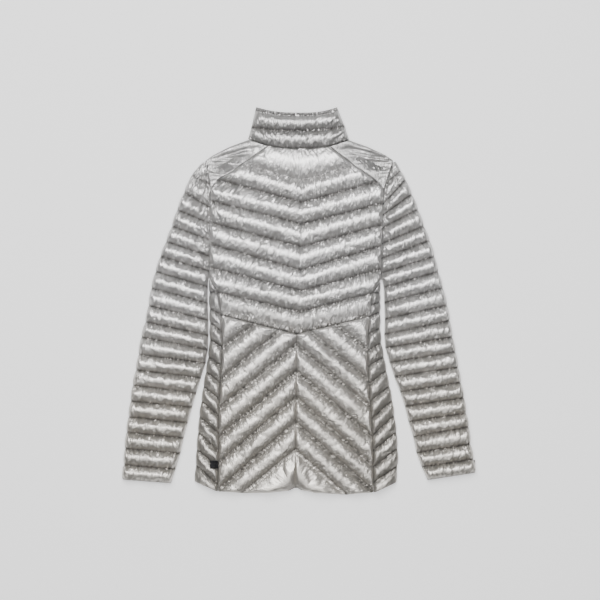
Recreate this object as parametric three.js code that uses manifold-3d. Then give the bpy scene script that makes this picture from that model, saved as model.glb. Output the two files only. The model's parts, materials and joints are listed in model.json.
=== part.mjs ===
import * as THREE from 'three'
import Module from 'manifold-3d'
import { mergeVertices } from 'three/addons/utils/BufferGeometryUtils.js'

// A down jacket laid flat with its back up, in millimetres.
// X runs to the right of the laid jacket, Y towards the collar, Z up from the surface.

const seamGap = 0.3 // between pieces that are sewn together
const sideSeamGap = 0.5 // the side seams curve, so their pieces keep a little more
const frontThickness = 11.7 // the fronts, flattened under the back
const wrapHeight = 11.85 // inside of a side panel where it turns down
const insideHeight = 12 // plain inside of the back, which lies on the fronts
const stitchHeight = 15 // top of the wall where it is stitched down
const backPuff = 15 // how far a baffle of the back rises over its stitches
const lowerPuff = 14
const sidePuff = 11
const sleevePuff = 15
const collarPuff = 15
const rowsPerBaffle = 3
const rollWidth = 14 // a baffle rolls down to its border over this width
const turnUnder = 14 // how far a side panel reaches under the edge
const zipHalfGap = 11 // from the centre line to the edge of a front
const puffPower = 0.75 // below 1 a baffle rises steeply beside its stitches

const shell = new THREE.MeshStandardMaterial({ color: 0xb4b1ac, roughness: 0.42, metalness: 0.35 })
const patchRubber = new THREE.MeshStandardMaterial({ color: 0x1d1d1f, roughness: 0.6, metalness: 0 })
const tapeCloth = new THREE.MeshStandardMaterial({ color: 0x8d8a85, roughness: 0.85, metalness: 0 })
const zipMetal = new THREE.MeshStandardMaterial({ color: 0x8f8d89, roughness: 0.35, metalness: 0.9 })

// Seam lines that two or more pieces share

const armholes = {
  left: [{ x: -179, y: 265 }, { x: -168.5, y: 212 }, { x: -171, y: 42 }],
  right: [{ x: 177, y: 266 }, { x: 158.5, y: 211 }, { x: 153, y: 39 }]
}
const sideSeams = {
  left: [
    { x: -171, y: 42 }, { x: -154, y: 16 }, { x: -147, y: -28 }, { x: -146, y: -88 },
    { x: -150, y: -155 }, { x: -153, y: -218 }, { x: -152.5, y: -286 }, { x: -155, y: -361 }
  ],
  right: [
    { x: 153, y: 39 }, { x: 138.5, y: 15 }, { x: 131, y: -30 }, { x: 129, y: -95 },
    { x: 130, y: -150 }, { x: 134, y: -201 }, { x: 138, y: -258 }, { x: 140, y: -361 }
  ]
}
const sideEdges = {
  left: [
    { x: -172.5, y: 44 }, { x: -171, y: 20 }, { x: -170, y: -42 }, { x: -170, y: -76 },
    { x: -173, y: -107 }, { x: -182, y: -162 }, { x: -190, y: -220 }, { x: -195, y: -282 },
    { x: -198, y: -342 }
  ],
  right: [
    { x: 154, y: 40 }, { x: 152, y: 20 }, { x: 152, y: -52 }, { x: 154, y: -80 },
    { x: 164, y: -133 }, { x: 175, y: -189 }, { x: 183, y: -249 }, { x: 186, y: -300 },
    { x: 182, y: -344 }
  ]
}
const waist = { leftX: -147, leftY: -28, midX: -6, midY: -63, rightX: 131, rightY: -30 }
const centreSeam = [{ x: -6, y: -63 }, { x: -9, y: -360 }]
const collarSeam = { leftX: -98, leftY: 307, midX: 3, midY: 288, rightX: 94, rightY: 305 }
const collarCurve = 2.6 // how flat the collar's lines are at the middle

// X on a line of points at a height Y, the points running down the jacket.
function xAt(line, y) {
  const last = line.length - 1
  let i = 0
  while (i < last - 1 && line[i + 1].y > y) i++
  const t = (y - line[i].y) / (line[i + 1].y - line[i].y)
  return line[i].x + t * (line[i + 1].x - line[i].x)
}

// Y on a line that runs from a left end over a middle point to a right end.
function yAcross(line, x, power = 1) {
  const left = x < line.midX
  const endX = left ? line.leftX : line.rightX
  const endY = left ? line.leftY : line.rightY
  const t = Math.abs((x - line.midX) / (endX - line.midX))
  return line.midY + (endY - line.midY) * t ** power
}

const collarSeamY = (x) => yAcross(collarSeam, x, collarCurve)

// A table's row at a place between its rows, every number blended.
function between(table, at) {
  const last = table.length - 1
  let i = 0
  while (i < last - 1 && table[i + 1].at <= at) i++
  const t = (at - table[i].at) / (table[i + 1].at - table[i].at)
  const row = {}
  for (const [key, value] of Object.entries(table[i])) row[key] = value + t * (table[i + 1][key] - value)
  return row
}

// Places of the rows down a quilted piece: its stitches and the rows between them.
function rowPlaces(table) {
  const first = table[0].at
  const last = table[table.length - 1].at
  const count = Math.round((last - first) * rowsPerBaffle)
  return Array.from({ length: count + 1 }, (_, i) => first + i / rowsPerBaffle)
}

// How full a baffle is at a place between its two stitches, 0 on a stitch.
const fullness = (at) => Math.abs(Math.sin(Math.PI * at)) ** puffPower

// How full a wall is near its border, rising from 0 to 1 over the roll.
function rolled(distance) {
  const t = Math.min(1, Math.max(0, distance / rollWidth))
  return Math.sqrt(1 - (1 - t) ** 2)
}

// A closed wall between two grids of points, with a flat edge all round.
// A round wall joins its last column to its first.
function wallGeometry(outer, inner, round = false) {
  const rows = outer.length
  const columns = outer[0].length
  const index = []
  const id = (side, row, column) => (side * rows + row) * columns + (column % columns)
  const quad = (a, b, c, d) => index.push(a, b, c, a, c, d)
  const lastColumn = round ? columns : columns - 1
  for (let c = 0; c < lastColumn; c++) {
    for (let r = 0; r < rows - 1; r++) {
      quad(id(0, r, c), id(0, r + 1, c), id(0, r + 1, c + 1), id(0, r, c + 1))
      quad(id(1, r, c), id(1, r, c + 1), id(1, r + 1, c + 1), id(1, r + 1, c))
    }
    quad(id(0, 0, c), id(0, 0, c + 1), id(1, 0, c + 1), id(1, 0, c))
    quad(id(0, rows - 1, c + 1), id(0, rows - 1, c), id(1, rows - 1, c), id(1, rows - 1, c + 1))
  }
  for (let r = 0; r < rows - 1 && !round; r++) {
    const c = columns - 1
    quad(id(0, r + 1, 0), id(0, r, 0), id(1, r, 0), id(1, r + 1, 0))
    quad(id(0, r, c), id(0, r + 1, c), id(1, r + 1, c), id(1, r, c))
  }
  const geometry = new THREE.BufferGeometry()
  const points = [...outer.flat(), ...inner.flat()]
  geometry.setAttribute('position', new THREE.Float32BufferAttribute(points.flat(), 3))
  geometry.setIndex(volumeOf(points, index) < 0 ? index.reverse() : index)
  return geometry
}

function volumeOf(points, index) {
  let sum = 0
  for (let i = 0; i < index.length; i += 3) {
    const [a, b, c] = [0, 1, 2].map((k) => new THREE.Vector3(...points[index[i + k]]))
    sum += a.dot(b.cross(c))
  }
  return sum / 6
}

function named(name, geometry, material) {
  const mesh = new THREE.Mesh(geometry, material)
  mesh.name = name
  return mesh
}

// Columns from 0 to 1, closer together towards both borders.
function borderColumns(count) {
  return Array.from({ length: count + 1 }, (_, i) => 0.5 - 0.5 * Math.cos((Math.PI * i) / count))
}

// Upper back: one panel whose stitch lines are Vs, from the collar seam to the waist seam.
// A row is a stitch where its place is whole; puff is for the baffle below it.
const upperBackRows = [
  { at: 0, leftX: -60, leftY: 293, midX: 4, midY: 288, rightX: 56, rightY: 293, puff: 0.55 },
  { at: 1, leftX: -108, leftY: 259, midX: 4, midY: 228, rightX: 102, rightY: 257, puff: 1 },
  { at: 2, leftX: -154, leftY: 229, midX: 4, midY: 186, rightX: 147, rightY: 225, puff: 1 },
  { at: 2.34, leftX: -168.5, leftY: 212, midX: 4, midY: 172, rightX: 158.5, rightY: 211, puff: 1 },
  { at: 3, leftX: -168, leftY: 189, midX: 4, midY: 145, rightX: 154, rightY: 185, puff: 1 },
  { at: 4, leftX: -169, leftY: 148, midX: 4, midY: 102, rightX: 153, rightY: 144, puff: 1 },
  { at: 5, leftX: -169, leftY: 107, midX: 3, midY: 58, rightX: 153, rightY: 104, puff: 1 },
  { at: 6, leftX: -170, leftY: 63, midX: 3, midY: 19, rightX: 152, rightY: 60, puff: 1 },
  { at: 6.34, leftX: -171, leftY: 42, midX: 2, midY: 6, rightX: 153, rightY: 39, puff: 1 },
  { at: 7, leftX: -154, leftY: 16, midX: 0, midY: -21, rightX: 138.5, rightY: 15, puff: 0.9 },
  { at: 8, leftX: -147, leftY: -28, midX: -6, midY: -63, rightX: 131, rightY: -30, puff: 0 }
]
const yokeSeams = {
  left: [{ x: -60, y: 293 }, { x: -108, y: 259 }, { x: -154, y: 229 }, { x: -168.5, y: 212 }],
  right: [{ x: 56, y: 293 }, { x: 102, y: 257 }, { x: 147, y: 225 }, { x: 158.5, y: 211 }]
}

function upperBackEdge(side, y) {
  if (y > armholes[side][1].y) return xAt(yokeSeams[side], y)
  if (y > armholes[side][2].y) return xAt(armholes[side], y)
  return xAt(sideSeams[side], y)
}

function upperBack() {
  const columns = borderColumns(14)
  const outer = []
  const inner = []
  for (const at of rowPlaces(upperBackRows)) {
    const row = between(upperBackRows, at)
    const left = upperBackEdge('left', row.leftY)
    const right = upperBackEdge('right', row.rightY)
    const line = { ...row, leftX: left, rightX: right }
    const plan = columns.map((u) => {
      const x = left + seamGap + u * (right - left - 2 * seamGap)
      const y = at === 0 ? collarSeamY(x) - seamGap : yAcross(line, x)
      const border = rolled(Math.min(x - left, right - x))
      return { x, y, rise: backPuff * row.puff * fullness(at) * border }
    })
    outer.push(plan.map((p) => [p.x, p.y, stitchHeight + p.rise]))
    inner.push(plan.map((p) => [p.x, p.y, insideHeight]))
  }
  return named('back_upper', wallGeometry(outer, inner), shell)
}

// Lower back: two panels that meet at the centre seam, their stitch lines falling outwards.
// A row starts on the waist or centre seam and ends on the side seam or the hem.
const lowerBackRows = {
  left: [
    { at: 0, startX: -141, startY: -30, endX: -147, endY: -35 },
    { at: 1, startX: -85, startY: -45, endX: -146, endY: -88 },
    { at: 2, startX: -37, startY: -57, endX: -147, endY: -149 },
    { at: 2.67, startX: -6, startY: -62, endX: -151, endY: -186 },
    { at: 3, startX: -8, startY: -83, endX: -152, endY: -204 },
    { at: 4, startX: -8, startY: -133, endX: -153, endY: -258 },
    { at: 5, startX: -8, startY: -183, endX: -152, endY: -307 },
    { at: 6, startX: -8, startY: -230, endX: -155, endY: -358 },
    { at: 7, startX: -8, startY: -282, endX: -108, endY: -364 },
    { at: 8, startX: -9, startY: -354, endX: -20, endY: -359 }
  ],
  right: [
    { at: 0, startX: 126, startY: -32, endX: 131, endY: -38 },
    { at: 1, startX: 69, startY: -45, endX: 129, endY: -95 },
    { at: 2, startX: 18, startY: -57, endX: 129, endY: -150 },
    { at: 2.67, startX: -5, startY: -62, endX: 132, endY: -184 },
    { at: 3, startX: -7, startY: -83, endX: 133, endY: -201 },
    { at: 4, startX: -7, startY: -133, endX: 137, endY: -258 },
    { at: 5, startX: -7, startY: -183, endX: 141, endY: -313 },
    { at: 6, startX: -7, startY: -231, endX: 138, endY: -361 },
    { at: 7, startX: -8, startY: -283, endX: 88, endY: -366 },
    { at: 8, startX: -8, startY: -352, endX: 3, endY: -357 }
  ]
}
const firstHemRow = 6 // from here on a row ends on the hem
const hemLine = {
  left: [{ x: -155, y: -361 }, { x: -108, y: -364 }, { x: -60, y: -364 }, { x: -9, y: -358 }],
  right: [{ x: 138, y: -363 }, { x: 88, y: -367 }, { x: 30, y: -364 }, { x: -9, y: -356 }]
}

function yOnHem(side, x) {
  const line = hemLine[side]
  let i = 0
  while (i < line.length - 2 && Math.abs(x - line[0].x) > Math.abs(line[i + 1].x - line[0].x)) i++
  const t = (x - line[i].x) / (line[i + 1].x - line[i].x)
  return line[i].y + t * (line[i + 1].y - line[i].y)
}

function lowerBack(side) {
  const outward = side === 'left' ? -1 : 1
  const columns = borderColumns(8)
  const outer = []
  const inner = []
  for (const at of rowPlaces(lowerBackRows[side])) {
    const row = between(lowerBackRows[side], at)
    const onWaist = row.startY > waist.midY
    const start = new THREE.Vector2(
      onWaist ? row.startX : xAt(centreSeam, row.startY) + (outward * seamGap) / 2,
      onWaist ? yAcross(waist, row.startX) - seamGap : row.startY
    )
    const onHem = at > firstHemRow
    const end = new THREE.Vector2(
      onHem ? row.endX : xAt(sideSeams[side], row.endY) - outward * sideSeamGap,
      onHem ? yOnHem(side, row.endX) : row.endY
    )
    const length = start.distanceTo(end)
    const plan = columns.map((u) => {
      const point = start.clone().lerp(end, u)
      const rise = lowerPuff * fullness(at) * rolled(length * Math.min(u, 1 - u))
      return { x: point.x, y: point.y, rise }
    })
    outer.push(plan.map((p) => [p.x, p.y, stitchHeight + p.rise]))
    inner.push(plan.map((p) => [p.x, p.y, insideHeight]))
  }
  return named(`back_lower_${side}`, wallGeometry(outer, inner), shell)
}

// Side panels: narrow, from a point at the armpit to the hem, each turned under the edge.
// A row is a stitch from the seam with the back down or up to the outer edge.
const sidePanelRows = {
  left: [
    { at: 0, seamY: 40, edgeY: 38 }, { at: 1, seamY: 16, edgeY: 16 }, { at: 2, seamY: -28, edgeY: -15 },
    { at: 3, seamY: -59, edgeY: -42 }, { at: 4, seamY: -88, edgeY: -74 },
    { at: 5, seamY: -124, edgeY: -107 }, { at: 6, seamY: -155, edgeY: -135 },
    { at: 7, seamY: -188, edgeY: -162 }, { at: 8, seamY: -218, edgeY: -191 },
    { at: 9, seamY: -251, edgeY: -220 }, { at: 10, seamY: -286, edgeY: -249 },
    { at: 11, seamY: -316, edgeY: -282 }, { at: 12, seamY: -348, edgeY: -311 },
    { at: 12.67, seamY: -361, edgeY: -342 }
  ],
  right: [
    { at: 0, seamY: 36, edgeY: 34 }, { at: 1, seamY: 15, edgeY: 15 }, { at: 2, seamY: -8, edgeY: -3 },
    { at: 3, seamY: -30, edgeY: -21 }, { at: 4, seamY: -64, edgeY: -52 },
    { at: 5, seamY: -95, edgeY: -80 }, { at: 6, seamY: -124, edgeY: -107 },
    { at: 7, seamY: -158, edgeY: -133 }, { at: 8, seamY: -191, edgeY: -162 },
    { at: 9, seamY: -224, edgeY: -189 }, { at: 10, seamY: -255, edgeY: -218 },
    { at: 11, seamY: -284, edgeY: -249 }, { at: 12, seamY: -315, edgeY: -280 },
    { at: 13, seamY: -344, edgeY: -313 }, { at: 13.67, seamY: -363, edgeY: -344 }
  ]
}
// Across a side panel: share is from the seam to the edge, inset from the edge inwards.
const sideProfile = [
  { share: 0, inset: 0, z: 15, puff: 0 }, { share: 0.15, inset: 0, z: 15, puff: 0.75 },
  { share: 0.45, inset: 0, z: 14.5, puff: 1 }, { share: 0.75, inset: 0, z: 12.5, puff: 0.85 },
  { share: 0.94, inset: 0, z: 9, puff: 0.4 }, { share: 1, inset: 0, z: 4.5, puff: 0 },
  { share: 1, inset: 2.5, z: 0, puff: 0 }, { share: 1, inset: turnUnder, z: 0, puff: 0 }
]
const sideInnerProfile = [
  { share: 0, inset: 0, z: insideHeight }, { share: 0.4, inset: 0, z: insideHeight },
  { share: 1, inset: turnUnder, z: wrapHeight }, { share: 1, inset: turnUnder, z: 10 },
  { share: 1, inset: turnUnder, z: 8 }, { share: 1, inset: turnUnder, z: 6 },
  { share: 1, inset: turnUnder, z: 4 }, { share: 1, inset: turnUnder, z: 2 }
]

function sidePanel(side) {
  const outward = side === 'left' ? -1 : 1
  const outer = []
  const inner = []
  for (const at of rowPlaces(sidePanelRows[side])) {
    const row = between(sidePanelRows[side], at)
    const seamX = xAt(sideSeams[side], row.seamY) + outward * sideSeamGap
    const edgeX = xAt(sideEdges[side], row.edgeY)
    const width = Math.abs(edgeX - seamX)
    const spot = (p) => {
      const share = Math.min(p.share, Math.max(0, 1 - p.inset / Math.max(width, 1)))
      const y = row.seamY + share * (row.edgeY - row.seamY)
      const x = p.inset ? xAt(sideEdges[side], y) - outward * p.inset : seamX + p.share * (edgeX - seamX)
      return [x, y]
    }
    const rise = sidePuff * fullness(at) * Math.min(1, width / rollWidth)
    outer.push(sideProfile.map((p) => [...spot(p), p.z + rise * p.puff]))
    inner.push(sideInnerProfile.map((p) => [...spot(p), p.z]))
  }
  return named(`side_panel_${side}`, wallGeometry(outer, inner), shell)
}

// Yokes: smooth unpadded cloth from the diagonal seam over the shoulder line to the front.
const yokeRows = {
  left: [
    { at: 0, seamX: -60, seamY: 293, foldX: -98, foldY: 305 },
    { at: 1, seamX: -108, seamY: 259, foldX: -133, foldY: 292 },
    { at: 2, seamX: -154, seamY: 229, foldX: -166, foldY: 275 },
    { at: 3, seamX: -168.5, seamY: 212, foldX: -179, foldY: 265 }
  ],
  right: [
    { at: 0, seamX: 56, seamY: 293, foldX: 95, foldY: 304 },
    { at: 1, seamX: 102, seamY: 257, foldX: 126, foldY: 293 },
    { at: 2, seamX: 147, seamY: 225, foldX: 163, foldY: 276 },
    { at: 3, seamX: 158.5, seamY: 211, foldX: 177, foldY: 266 }
  ]
}
const yokeUnder = 20 // how far a yoke reaches under the shoulder line
// From the seam over the fold to the end underneath; from is the distance to the fold.
const yokeProfile = [
  { from: Infinity, z: 15, innerFrom: Infinity, innerZ: 12 },
  { from: 32, z: 15.5, innerFrom: 32, innerZ: 12.2 },
  { from: 20, z: 15, innerFrom: 20, innerZ: 12 }, { from: 11, z: 13.5, innerFrom: 11, innerZ: 10.6 },
  { from: 4.5, z: 10.5, innerFrom: 6, innerZ: 8.2 }, { from: 1, z: 6.5, innerFrom: 4, innerZ: 6.2 },
  { from: 0.6, z: 2.5, innerFrom: 3.8, innerZ: 4.4 }, { from: 4, z: 0, innerFrom: 6, innerZ: 3 },
  { from: yokeUnder, z: 0, innerFrom: yokeUnder, innerZ: 3 }
]

function yoke(side) {
  const outward = side === 'left' ? -1 : 1
  const outer = []
  const inner = []
  for (const at of rowPlaces(yokeRows[side])) {
    const row = between(yokeRows[side], at)
    const seam = new THREE.Vector2(row.seamX + outward * seamGap, row.seamY + seamGap)
    const fold = new THREE.Vector2(row.foldX, row.foldY)
    const length = seam.distanceTo(fold)
    const spot = (distance, z) => {
      const point = fold.clone().lerp(seam, Math.min(1, distance / length))
      const limit = collarSeamY(point.x) - seamGap
      return [point.x, at === 0 ? limit : Math.min(point.y, limit), z]
    }
    outer.push(yokeProfile.map((p) => spot(p.from, p.z)))
    inner.push(yokeProfile.map((p) => spot(p.innerFrom, p.innerZ)))
  }
  return named(`yoke_${side}`, wallGeometry(outer, inner), shell)
}

// Sleeves: flattened tubes. A row is a stitch, from the armhole or underarm edge out.
const sleeveRows = {
  left: [
    { at: 0, innerX: -179, innerY: 262, outerX: -184, outerY: 263 },
    { at: 1, innerX: -173, innerY: 222, outerX: -205, outerY: 238 },
    { at: 2, innerX: -170, innerY: 176, outerX: -219, outerY: 205 },
    { at: 3, innerX: -170, innerY: 146, outerX: -232, outerY: 172 },
    { at: 4, innerX: -170, innerY: 115, outerX: -242, outerY: 141 },
    { at: 5, innerX: -171, innerY: 84, outerX: -253, outerY: 112 },
    { at: 6, innerX: -172, innerY: 56, outerX: -264, outerY: 84 },
    { at: 7, innerX: -174, innerY: 26, outerX: -273, outerY: 55 },
    { at: 8, innerX: -174, innerY: -5, outerX: -281, outerY: 24 },
    { at: 9, innerX: -173, innerY: -37, outerX: -286, outerY: -9 },
    { at: 10, innerX: -173, innerY: -66, outerX: -292, outerY: -40 },
    { at: 11, innerX: -174, innerY: -93, outerX: -300, outerY: -69 },
    { at: 12, innerX: -178, innerY: -118, outerX: -305, outerY: -102 },
    { at: 13, innerX: -187, innerY: -146, outerX: -310, outerY: -131 },
    { at: 14, innerX: -196, innerY: -175, outerX: -316, outerY: -160 },
    { at: 15, innerX: -204, innerY: -202, outerX: -320, outerY: -190 },
    { at: 16, innerX: -212, innerY: -231, outerX: -324, outerY: -220 },
    { at: 17, innerX: -220, innerY: -260, outerX: -328, outerY: -249 },
    { at: 18, innerX: -226, innerY: -289, outerX: -331, outerY: -280 },
    { at: 19, innerX: -235, innerY: -319, outerX: -333, outerY: -311 },
    { at: 20, innerX: -244, innerY: -346, outerX: -336, outerY: -339 }
  ],
  right: [
    { at: 0, innerX: 177, innerY: 262, outerX: 182, outerY: 264 },
    { at: 1, innerX: 165, innerY: 220, outerX: 191, outerY: 247 },
    { at: 2, innerX: 158, innerY: 182, outerX: 200, outerY: 230 },
    { at: 3, innerX: 157, innerY: 162, outerX: 212, outerY: 202 },
    { at: 4, innerX: 156, innerY: 138, outerX: 224, outerY: 173 },
    { at: 5, innerX: 155, innerY: 108, outerX: 235, outerY: 141 },
    { at: 6, innerX: 155, innerY: 80, outerX: 246, outerY: 114 },
    { at: 7, innerX: 154, innerY: 52, outerX: 255, outerY: 84 },
    { at: 8, innerX: 159, innerY: 25, outerX: 262, outerY: 55 },
    { at: 9, innerX: 160, innerY: -4, outerX: 271, outerY: 24 },
    { at: 10, innerX: 161, innerY: -35, outerX: 279, outerY: -9 },
    { at: 11, innerX: 160, innerY: -64, outerX: 284, outerY: -38 },
    { at: 12, innerX: 162, innerY: -89, outerX: 289, outerY: -69 },
    { at: 13, innerX: 170, innerY: -117, outerX: 295, outerY: -97 },
    { at: 14, innerX: 179, innerY: -144, outerX: 300, outerY: -126 },
    { at: 15, innerX: 190, innerY: -173, outerX: 305, outerY: -155 },
    { at: 16, innerX: 199, innerY: -200, outerX: 311, outerY: -184 },
    { at: 17, innerX: 206, innerY: -229, outerX: 315, outerY: -213 },
    { at: 18, innerX: 215, innerY: -258, outerX: 320, outerY: -239 },
    { at: 19, innerX: 221, innerY: -288, outerX: 323, outerY: -271 },
    { at: 20, innerX: 231, innerY: -315, outerX: 329, outerY: -300 },
    { at: 21, innerX: 242, innerY: -340, outerX: 336, outerY: -326 }
  ]
}
// Round a flattened sleeve, from the underarm edge over the top and back underneath.
const sleeveProfile = [
  { share: 0, z: 5, puff: 0, slot: 6.9 }, { share: 0.025, z: 9.5, puff: 0.35, slot: 7.5 },
  { share: 0.11, z: 13, puff: 0.8, slot: 7.6 }, { share: 0.3, z: 14, puff: 1, slot: 7.6 },
  { share: 0.5, z: 14, puff: 1, slot: 7.6 }, { share: 0.7, z: 14, puff: 1, slot: 7.6 },
  { share: 0.89, z: 13, puff: 0.8, slot: 7.6 }, { share: 0.975, z: 9.5, puff: 0.35, slot: 7.5 },
  { share: 1, z: 5, puff: 0, slot: 6.9 }, { share: 0.96, z: 0, puff: 0, slot: 6.4 },
  { share: 0.66, z: 0, puff: 0, slot: 6.4 }, { share: 0.34, z: 0, puff: 0, slot: 6.4 },
  { share: 0.04, z: 0, puff: 0, slot: 6.4 }
]
const sleeveTop = 14 // top of a sleeve where it is stitched down
const shoulderRows = 2 // a sleeve fills out over this many rows from the shoulder
const cuffRows = 0.67 // and flattens over this many towards the cuff
const slotMargin = 0.06 // share of the width left solid at each folded edge
const cuffHeight = 9
const edgeScallop = 2 // how far a baffle stands out at the sleeve's outer edge

function sleeve(side) {
  const outward = side === 'left' ? -1 : 1
  const last = sleeveRows[side].length - 1
  const outer = []
  const inner = []
  for (const at of rowPlaces(sleeveRows[side])) {
    const row = between(sleeveRows[side], at)
    const onArmhole = row.innerY > armholes[side][2].y
    const innerX = onArmhole ? xAt(armholes[side], row.innerY) + outward * seamGap : row.innerX
    const ends = Math.min(1, at / shoulderRows, (last - at) / cuffRows)
    const height = (cuffHeight + (sleeveTop - cuffHeight) * ends) / sleeveTop
    const puff = sleevePuff * ends * fullness(at)
    const reach = edgeScallop * fullness(at) * ends
    const spot = (share) => [
      innerX + share * (row.outerX + outward * reach - innerX),
      row.innerY + share * (row.outerY - row.innerY)
    ]
    outer.push(sleeveProfile.map((p) => [...spot(p.share), p.z * height + puff * p.puff]))
    inner.push(sleeveProfile.map((p) => {
      const share = slotMargin + p.share * (1 - 2 * slotMargin)
      return [...spot(share), p.slot * height]
    }))
  }
  return named(`sleeve_${side}`, wallGeometry(outer, inner, true), shell)
}

// Collar: two baffles, lying flat as a band that is open at the zip underneath.
const collarRows = [
  { at: 0, leftX: -83, leftY: 367, midX: 2, midY: 356, rightX: 71, rightY: 367 },
  { at: 1, leftX: -92, leftY: 329, midX: 2, midY: 322, rightX: 86, rightY: 330 },
  { at: 2, ...collarSeam }
]
// From one side of the zip under the band, over the back and under again.
// zip places a column beside the zip instead of by its share.
const collarUnder = [
  { share: 0.03, zip: 1, z: 0, puff: 0, inner: 11 }, { share: 0.5, zip: 0, z: 0, puff: 0, inner: 11 },
  { share: 0.96, zip: 0, z: 0, puff: 0, inner: 11 }
]
const collarOver = [
  { share: 1, zip: 0, z: 5, puff: 0.1, inner: 11.5 }, { share: 0.97, zip: 0, z: 10, puff: 0.4, inner: 12 },
  { share: 0.87, zip: 0, z: 14, puff: 0.9, inner: 12 }, { share: 0.6, zip: 0, z: 15, puff: 1, inner: 12 },
  { share: 0.3, zip: 0, z: 15, puff: 1, inner: 12 }
]
const collarFold = 5 // solid width at each folded side
const collarEdgeZ = 12.6 // top of the back of the collar at its upper edge
const collarEdgeRows = 0.3 // it rises from there over this many rows

function collar() {
  const half = [...collarUnder, ...collarOver]
  const middle = { share: 0, zip: 0, z: 15, puff: 1, inner: 12 }
  const columns = [
    ...half.map((p) => ({ ...p, side: -1 })), { ...middle, side: 1 },
    ...half.toReversed().map((p) => ({ ...p, side: 1 }))
  ]
  const outer = []
  const inner = []
  for (const at of rowPlaces(collarRows)) {
    const row = between(collarRows, at)
    const topEdge = Math.min(1, at / collarEdgeRows)
    const spot = (p, margin) => {
      const end = (p.side < 0 ? row.leftX : row.rightX) - p.side * margin
      const x = p.zip ? p.side * zipHalfGap : row.midX + p.share * (end - row.midX)
      return [x, yAcross(row, x, collarCurve)]
    }
    const lift = (p) => (p.z > insideHeight ? collarEdgeZ + (p.z - collarEdgeZ) * topEdge : p.z)
    outer.push(columns.map((p) => [...spot(p, 0), lift(p) + collarPuff * fullness(at) * p.puff]))
    inner.push(columns.map((p) => [...spot(p, collarFold), p.inner]))
  }
  return named('collar', wallGeometry(outer, inner), shell)
}

// Fronts: flattened plain under the back, their rows running out from the zip.
// Below the armpit a row ends where the side panel's turned edge begins.
const frontRows = {
  left: [
    { at: 0, zipY: 288, endX: -75, endY: 299 }, { at: 1, zipY: 280, endX: -93, endY: 283 },
    { at: 2, zipY: 260, endX: -127, endY: 270 }, { at: 3, zipY: 236, endX: -166, endY: 249 },
    { at: 4, zipY: 205, endX: -167.5, endY: 205 }, { at: 5, zipY: 125, endX: -169, endY: 125 },
    { at: 6, zipY: 50, endX: -170, endY: 48 }, { at: 7, zipY: 42, endX: -157, endY: 42 },
    { at: 8, zipY: 20, endY: 20 }, { at: 9, zipY: -42, endY: -42 }, { at: 10, zipY: -76, endY: -76 },
    { at: 11, zipY: -107, endY: -107 }, { at: 12, zipY: -162, endY: -162 },
    { at: 13, zipY: -220, endY: -220 }, { at: 14, zipY: -282, endY: -282 },
    { at: 15, zipY: -355, endY: -350 }
  ],
  right: [
    { at: 0, zipY: 288, endX: 72, endY: 299 }, { at: 1, zipY: 280, endX: 90, endY: 282 },
    { at: 2, zipY: 260, endX: 124, endY: 270 }, { at: 3, zipY: 236, endX: 160, endY: 250 },
    { at: 4, zipY: 205, endX: 157, endY: 205 }, { at: 5, zipY: 125, endX: 154.5, endY: 125 },
    { at: 6, zipY: 50, endX: 152, endY: 45 }, { at: 7, zipY: 39, endX: 138.5, endY: 39 },
    { at: 8, zipY: 20, endY: 20 }, { at: 9, zipY: -52, endY: -52 }, { at: 10, zipY: -80, endY: -80 },
    { at: 11, zipY: -133, endY: -133 }, { at: 12, zipY: -189, endY: -189 },
    { at: 13, zipY: -249, endY: -249 }, { at: 14, zipY: -300, endY: -300 },
    { at: 15, zipY: -355, endY: -350 }
  ]
}
const frontColumns = [0, 0.33, 0.66, 1]

function front(side) {
  const outward = side === 'left' ? -1 : 1
  const top = []
  const bottom = []
  for (const row of frontRows[side]) {
    const turned = xAt(sideEdges[side], row.endY) - outward * (turnUnder + sideSeamGap)
    const endX = row.endX ?? turned
    const plan = frontColumns.map((u) => {
      const x = outward * zipHalfGap + u * (endX - outward * zipHalfGap)
      const y = row.zipY + u * (row.endY - row.zipY)
      return [x, Math.min(y, collarSeamY(x) - seamGap)]
    })
    top.push(plan.map((p) => [...p, frontThickness]))
    bottom.push(plan.map((p) => [...p, 0]))
  }
  return named(`front_${side}`, wallGeometry(top, bottom), shell)
}

// Hem patch: a bare square on the left side panel, from the panel's own surface moved out.
const patch = { x: -162.2, y: -309.5, size: 14.5, lift: 0.55, thickness: 0.8, steps: 8 }
const rayStart = 100 // height from which the panel's surface is looked for

function hemPatch(panel) {
  panel.updateMatrixWorld()
  const down = new THREE.Vector3(0, 0, -1)
  const surface = (x, y) => {
    const ray = new THREE.Raycaster(new THREE.Vector3(x, y, rayStart), down)
    return ray.intersectObject(panel)[0].point.z
  }
  const outer = []
  const inner = []
  for (let r = 0; r <= patch.steps; r++) {
    const y = patch.y + patch.size * (0.5 - r / patch.steps)
    const shares = Array.from({ length: patch.steps + 1 }, (_, i) => i / patch.steps - 0.5)
    const xs = shares.map((share) => patch.x + patch.size * share)
    outer.push(xs.map((x) => [x, y, surface(x, y) + patch.lift + patch.thickness]))
    inner.push(xs.map((x) => [x, y, surface(x, y) + patch.lift]))
  }
  return named('hem_patch', wallGeometry(outer, inner), patchRubber)
}

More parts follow.
